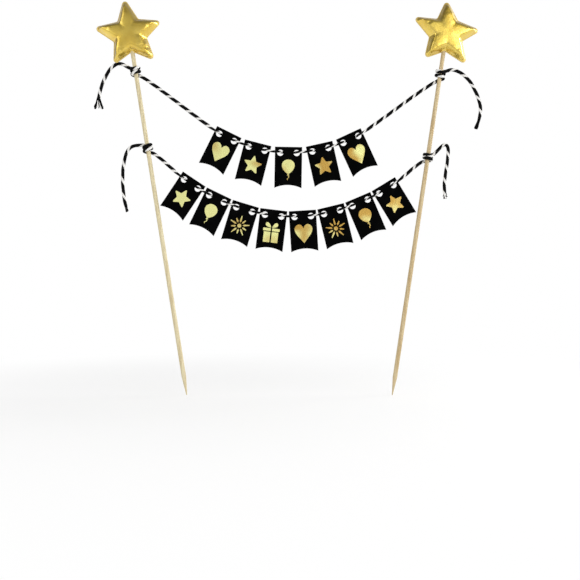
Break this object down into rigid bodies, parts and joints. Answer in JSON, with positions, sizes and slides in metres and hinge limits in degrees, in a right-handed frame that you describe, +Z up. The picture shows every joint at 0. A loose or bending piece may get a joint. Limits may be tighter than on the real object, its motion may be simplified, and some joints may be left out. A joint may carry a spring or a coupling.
{
  "type": "banner topper",
  "caption": "Hanging card garlands on two-colour twine, tied between two pointed bamboo skewers that carry padded stars; a table decoration pushed into something soft.",
  "frame": {"origin": "on the plane of the skewers' points, midway along the banner and in the plane of the skewers", "axes": "+X along the banner to the right as seen from the front, +Y to its back, +Z up"},
  "size_m": [0.2566, 0.0112, 0.2618],
  "materials": {
    "bamboo": "split, sanded, unvarnished bamboo",
    "gold_foil_cloth": "metallic gold foil face",
    "wadding": "soft white filling",
    "twine": "two-ply twine, one black ply and one white",
    "black_card": "matt black card with gold foil motifs"
  },
  "bodies": {
    "sticks": {"left_stick": "bamboo", "left_star_front": "gold_foil_cloth", "left_star_back": "gold_foil_cloth", "left_star_filling": "wadding", "right_stick": "bamboo", "right_star_front": "gold_foil_cloth", "right_star_back": "gold_foil_cloth", "right_star_filling": "wadding", "upper_left_hitch": "twine", "upper_right_hitch": "twine", "lower_left_hitch": "twine", "lower_right_hitch": "twine", "upper_left_tail": "twine", "upper_right_tail": "twine", "lower_left_tail": "twine", "lower_right_tail": "twine"},
    "upper_garland": {"upper_twine_run": "twine"},
    "upper_pennant_1": {"upper_pennant_1": "black_card"},
    "upper_pennant_2": {"upper_pennant_2": "black_card"},
    "upper_pennant_3": {"upper_pennant_3": "black_card"},
    "upper_pennant_4": {"upper_pennant_4": "black_card"},
    "upper_pennant_5": {"upper_pennant_5": "black_card"},
    "lower_garland": {"lower_twine_run": "twine"},
    "lower_pennant_1": {"lower_pennant_1": "black_card"},
    "lower_pennant_2": {"lower_pennant_2": "black_card"},
    "lower_pennant_3": {"lower_pennant_3": "black_card"},
    "lower_pennant_4": {"lower_pennant_4": "black_card"},
    "lower_pennant_5": {"lower_pennant_5": "black_card"},
    "lower_pennant_6": {"lower_pennant_6": "black_card"},
    "lower_pennant_7": {"lower_pennant_7": "black_card"},
    "lower_pennant_8": {"lower_pennant_8": "black_card"}
  },
  "joints": [
    {"name": "upper_garland_swing", "type": "hinge", "parent": "sticks", "child": "upper_garland", "pos_m": [-0.09982, 0.0024, 0.21349], "axis": [0.9996, 0, -0.028], "range_deg": [-45, 45]},
    {"name": "upper_pennant_1_swing", "type": "hinge", "parent": "upper_garland", "child": "upper_pennant_1", "pos_m": [-0.0412, 0.0024, 0.17263], "axis": [0.8955, 0, -0.4451], "range_deg": [-35, 35]},
    {"name": "upper_pennant_2_swing", "type": "hinge", "parent": "upper_garland", "child": "upper_pennant_2", "pos_m": [-0.02116, 0.0024, 0.16517], "axis": [0.9685, 0, -0.2489], "range_deg": [-35, 35]},
    {"name": "upper_pennant_3_swing", "type": "hinge", "parent": "upper_garland", "child": "upper_pennant_3", "pos_m": [0, 0.0024, 0.16231], "axis": [0.9999, 0, -0.017], "range_deg": [-35, 35]},
    {"name": "upper_pennant_4_swing", "type": "hinge", "parent": "upper_garland", "child": "upper_pennant_4", "pos_m": [0.02124, 0.0024, 0.16447], "axis": [0.976, 0, 0.2177], "range_deg": [-35, 35]},
    {"name": "upper_pennant_5_swing", "type": "hinge", "parent": "upper_garland", "child": "upper_pennant_5", "pos_m": [0.04149, 0.0024, 0.17133], "axis": [0.9075, 0, 0.4202], "range_deg": [-35, 35]},
    {"name": "lower_garland_swing", "type": "hinge", "parent": "sticks", "child": "lower_garland", "pos_m": [-0.09153, 0.00244, 0.16113], "axis": [0.9995, 0, -0.0329], "range_deg": [-45, 45]},
    {"name": "lower_pennant_1_swing", "type": "hinge", "parent": "lower_garland", "child": "lower_pennant_1", "pos_m": [-0.06506, 0.00244, 0.14139], "axis": [0.8319, 0, -0.5549], "range_deg": [-35, 35]},
    {"name": "lower_pennant_2_swing", "type": "hinge", "parent": "lower_garland", "child": "lower_pennant_2", "pos_m": [-0.04791, 0.00244, 0.13157], "axis": [0.8998, 0, -0.4364], "range_deg": [-35, 35]},
    {"name": "lower_pennant_3_swing", "type": "hinge", "parent": "lower_garland", "child": "lower_pennant_3", "pos_m": [-0.02953, 0.00244, 0.12438], "axis": [0.957, 0, -0.29], "range_deg": [-35, 35]},
    {"name": "lower_pennant_4_swing", "type": "hinge", "parent": "lower_garland", "child": "lower_pennant_4", "pos_m": [-0.01023, 0.00244, 0.12032], "axis": [0.9928, 0, -0.1201], "range_deg": [-35, 35]},
    {"name": "lower_pennant_5_swing", "type": "hinge", "parent": "lower_garland", "child": "lower_pennant_5", "pos_m": [0.00948, 0.00244, 0.11974], "axis": [0.9981, 0, 0.0609], "range_deg": [-35, 35]},
    {"name": "lower_pennant_6_swing", "type": "hinge", "parent": "lower_garland", "child": "lower_pennant_6", "pos_m": [0.02898, 0.00244, 0.12268], "axis": [0.9717, 0, 0.2361], "range_deg": [-35, 35]},
    {"name": "lower_pennant_7_swing", "type": "hinge", "parent": "lower_garland", "child": "lower_pennant_7", "pos_m": [0.04771, 0.00244, 0.12889], "axis": [0.9203, 0, 0.3911], "range_deg": [-35, 35]},
    {"name": "lower_pennant_8_swing", "type": "hinge", "parent": "lower_garland", "child": "lower_pennant_8", "pos_m": [0.06529, 0.00244, 0.1379], "axis": [0.8548, 0, 0.5189], "range_deg": [-35, 35]}
  ]
}
